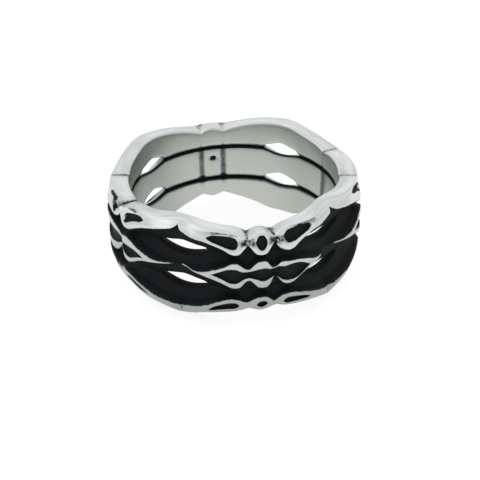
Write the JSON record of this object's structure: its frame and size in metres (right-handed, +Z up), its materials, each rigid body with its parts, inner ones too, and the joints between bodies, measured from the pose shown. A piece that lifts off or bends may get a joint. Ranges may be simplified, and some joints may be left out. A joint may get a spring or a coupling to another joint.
{
  "type": "silver ring",
  "caption": "Wide cast silver band ring with rows of bead and teardrop relief, blackened channels and lens-shaped slots cut through the wall.",
  "frame": {"origin": "centre of the finger hole, on the surface that the ring lies on", "axes": "+Z up along the finger hole, -Y towards the bead motif that faces the viewer, +X to the viewer's right"},
  "size_m": [0.0231, 0.0232, 0.0098],
  "materials": {
    "silver": "polished cast silver on the rims, satin inside, blackened in the channels and pits"
  },
  "bodies": {
    "root": {"ring_band": "silver"}
  },
  "joints": []
}
